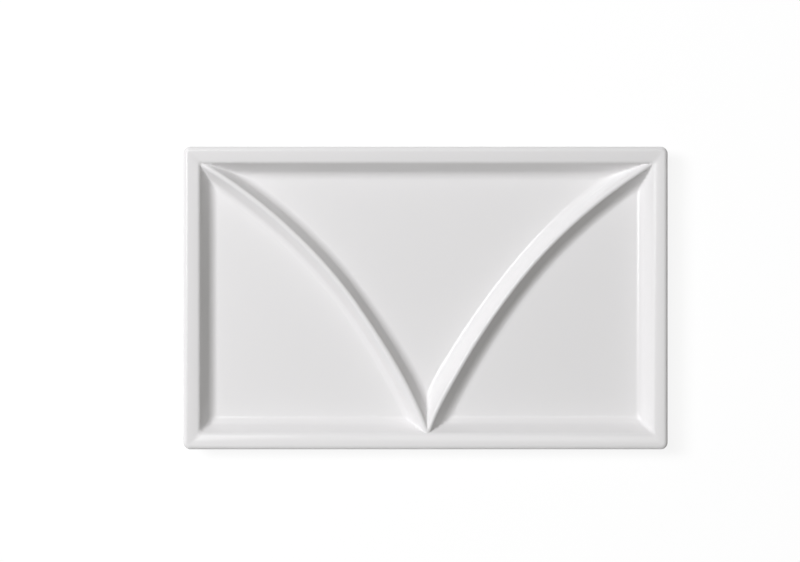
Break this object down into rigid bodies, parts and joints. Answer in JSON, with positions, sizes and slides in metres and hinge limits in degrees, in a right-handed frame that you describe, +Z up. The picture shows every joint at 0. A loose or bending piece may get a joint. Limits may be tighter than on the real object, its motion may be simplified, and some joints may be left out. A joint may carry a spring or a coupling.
{
  "type": "rectangular divided plate",
  "caption": "White glazed rectangular plate with a narrow rim and shallow wells, parted by curved ridges that meet in a V at the middle of one long side.",
  "frame": {"origin": "middle of the plate's outline, on the surface that its foot stands on", "axes": "+X along the plate's length, +Z up out of the wells; the V of the ridges points to -Y"},
  "size_m": [0.32, 0.2, 0.018],
  "materials": {
    "glazed_porcelain": "clear gloss glaze over white porcelain",
    "bare_porcelain": "unglazed, polished foot"
  },
  "bodies": {
    "root": {"rim": "glazed_porcelain", "side_wall": "glazed_porcelain", "well_floor": "glazed_porcelain", "left_divider": "glazed_porcelain", "right_divider": "glazed_porcelain", "foot_ring": "bare_porcelain"}
  },
  "joints": []
}
